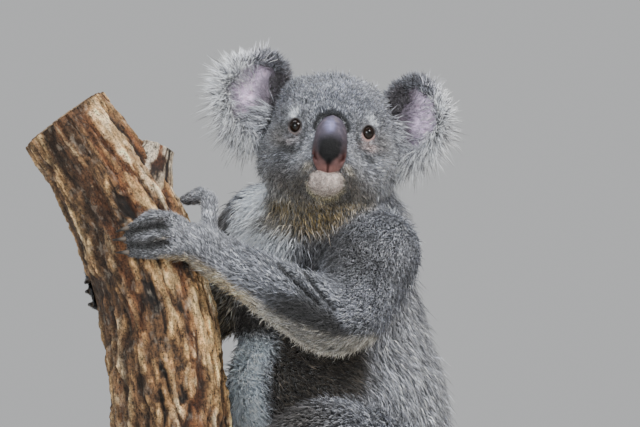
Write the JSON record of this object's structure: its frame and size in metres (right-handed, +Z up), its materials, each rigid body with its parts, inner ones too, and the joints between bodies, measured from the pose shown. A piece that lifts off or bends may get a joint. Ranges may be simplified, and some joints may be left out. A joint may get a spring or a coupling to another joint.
{
  "type": "koala model",
  "caption": "Life-size koala sitting upright and gripping a short cut length of tree trunk with its hands and feet, on a flat display base with rods.",
  "frame": {"origin": "on the floor, in the middle of the underside of the display base", "axes": "+Z up; -Y is where the koala's face looks; -X is the side where the tree trunk stands"},
  "size_m": [0.43, 0.37, 0.5467],
  "materials": {
    "fur_grey": "dense woolly grey coat, white on the breast and brown-grey on the flanks",
    "fur_pale": "long pale ear fringes round bare pinkish inner ears",
    "nose_leather": "fine-grained, half gloss",
    "eye": "wet gloss",
    "claw": "smooth horn",
    "bark": "furrowed stringy bark with sawn ends",
    "stand_board": "matt painted",
    "stand_steel": "satin"
  },
  "bodies": {
    "root": {"head": "fur_grey", "neck": "fur_grey", "chest": "fur_grey", "belly": "fur_grey", "rump": "fur_grey", "arm_left_upper": "fur_grey", "arm_left_fore": "fur_grey", "arm_right_upper": "fur_grey", "arm_right_fore": "fur_grey", "leg_left_thigh": "fur_grey", "leg_left_shin": "fur_grey", "leg_right_thigh": "fur_grey", "leg_right_shin": "fur_grey", "hand_left": "fur_grey", "hand_right": "fur_grey", "foot_left": "fur_grey", "foot_right": "fur_grey", "ear_right": "fur_pale", "ear_left": "fur_pale", "nose": "nose_leather", "eye_right": "eye", "eye_left": "eye", "hand_left_claw_thumb": "claw", "hand_left_claw_index": "claw", "hand_left_claw_middle": "claw", "hand_left_claw_ring": "claw", "hand_left_claw_little": "claw", "hand_right_claw_thumb": "claw", "hand_right_claw_index": "claw", "hand_right_claw_middle": "claw", "hand_right_claw_ring": "claw", "hand_right_claw_little": "claw", "foot_left_claw_second": "claw", "foot_left_claw_third": "claw", "foot_left_claw_fourth": "claw", "foot_left_claw_fifth": "claw", "foot_right_claw_second": "claw", "foot_right_claw_third": "claw", "foot_right_claw_fourth": "claw", "foot_right_claw_fifth": "claw", "perch_trunk": "bark", "stand_base": "stand_board", "stand_rod_trunk": "stand_steel", "stand_rod_rump": "stand_steel"}
  },
  "joints": []
}
